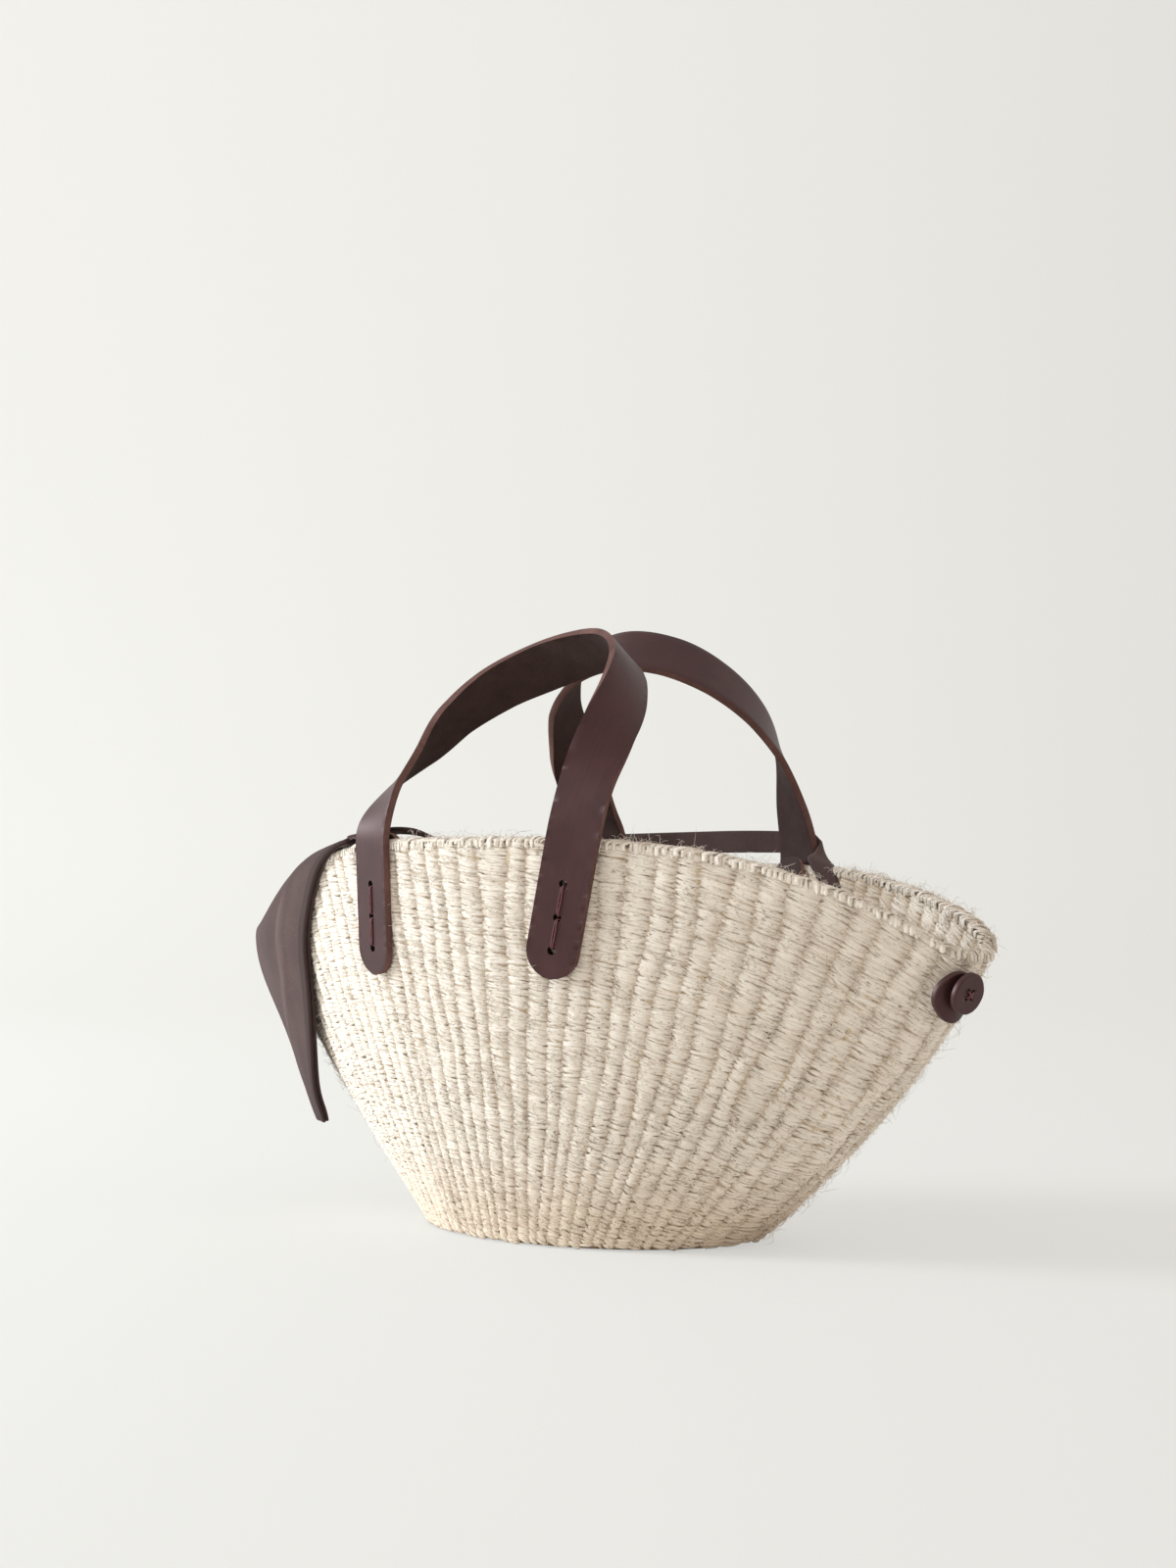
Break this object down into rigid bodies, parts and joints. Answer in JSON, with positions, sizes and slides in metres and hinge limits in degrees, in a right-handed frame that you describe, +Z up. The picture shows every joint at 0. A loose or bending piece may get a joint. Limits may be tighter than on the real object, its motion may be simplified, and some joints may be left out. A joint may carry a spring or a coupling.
{
  "type": "woven basket handbag",
  "caption": "Boat-shaped woven basket handbag with a flat oval base, leather strap handles sewn outside, a leather button at one end and a dark fabric sash laid over the rim.",
  "frame": {"origin": "on the floor under the middle of the basket's oval base", "axes": "+X along the bag towards the buttoned end, -Y towards the front wall (its handle is the one nearer the viewer), +Z up"},
  "size_m": [0.3931, 0.1589, 0.2444],
  "materials": {
    "basket_fibre": "matte twined natural fibre yarn",
    "leather": "smooth satin dark brown grain side",
    "leather_inner": "rough flesh side",
    "sash_cloth": "matte brushed cloth",
    "thread": "waxed burgundy thread"
  },
  "bodies": {
    "bag": {"basket": "basket_fibre", "front_strap_end_left": "leather", "front_patch_left": "leather_inner", "front_lacing_left": "thread", "front_strap_end_right": "leather", "front_patch_right": "leather_inner", "front_lacing_right": "thread", "back_strap_end_left": "leather", "back_patch_left": "leather_inner", "back_lacing_left": "thread", "back_strap_end_right": "leather", "back_patch_right": "leather_inner", "back_lacing_right": "thread", "button_disc": "leather", "button_shank": "thread", "sash_rim_fold": "sash_cloth", "sash_inside_left": "sash_cloth", "sash_inside_right": "sash_cloth"},
    "front_handle_body": {"front_handle": "leather"},
    "back_handle_body": {"back_handle": "leather", "sash_band": "sash_cloth"},
    "tail_body": {"sash_tail": "sash_cloth"},
    "button_body": {"button": "leather", "button_stitches": "thread"}
  },
  "joints": [
    {"name": "front_handle_swing", "type": "hinge", "parent": "bag", "child": "front_handle_body", "pos_m": [0, -0.07674, 0.15871], "axis": [1, 0, 0], "range_deg": [0, 90]},
    {"name": "back_handle_swing", "type": "hinge", "parent": "bag", "child": "back_handle_body", "pos_m": [0, 0.07971, 0.14882], "axis": [-1, 0, 0], "range_deg": [0, 90]},
    {"name": "sash_tail_swing", "type": "hinge", "parent": "bag", "child": "tail_body", "pos_m": [-0.16672, -0.02826, 0.117], "axis": [-0.8874, 0.461, 0], "range_deg": [0, 70]},
    {"name": "button_turn", "type": "hinge", "parent": "bag", "child": "button_body", "pos_m": [0.18612, -0.00999, 0.10162], "axis": [0.9475, -0.1302, -0.2921], "range_deg": [-30, 30]}
  ]
}
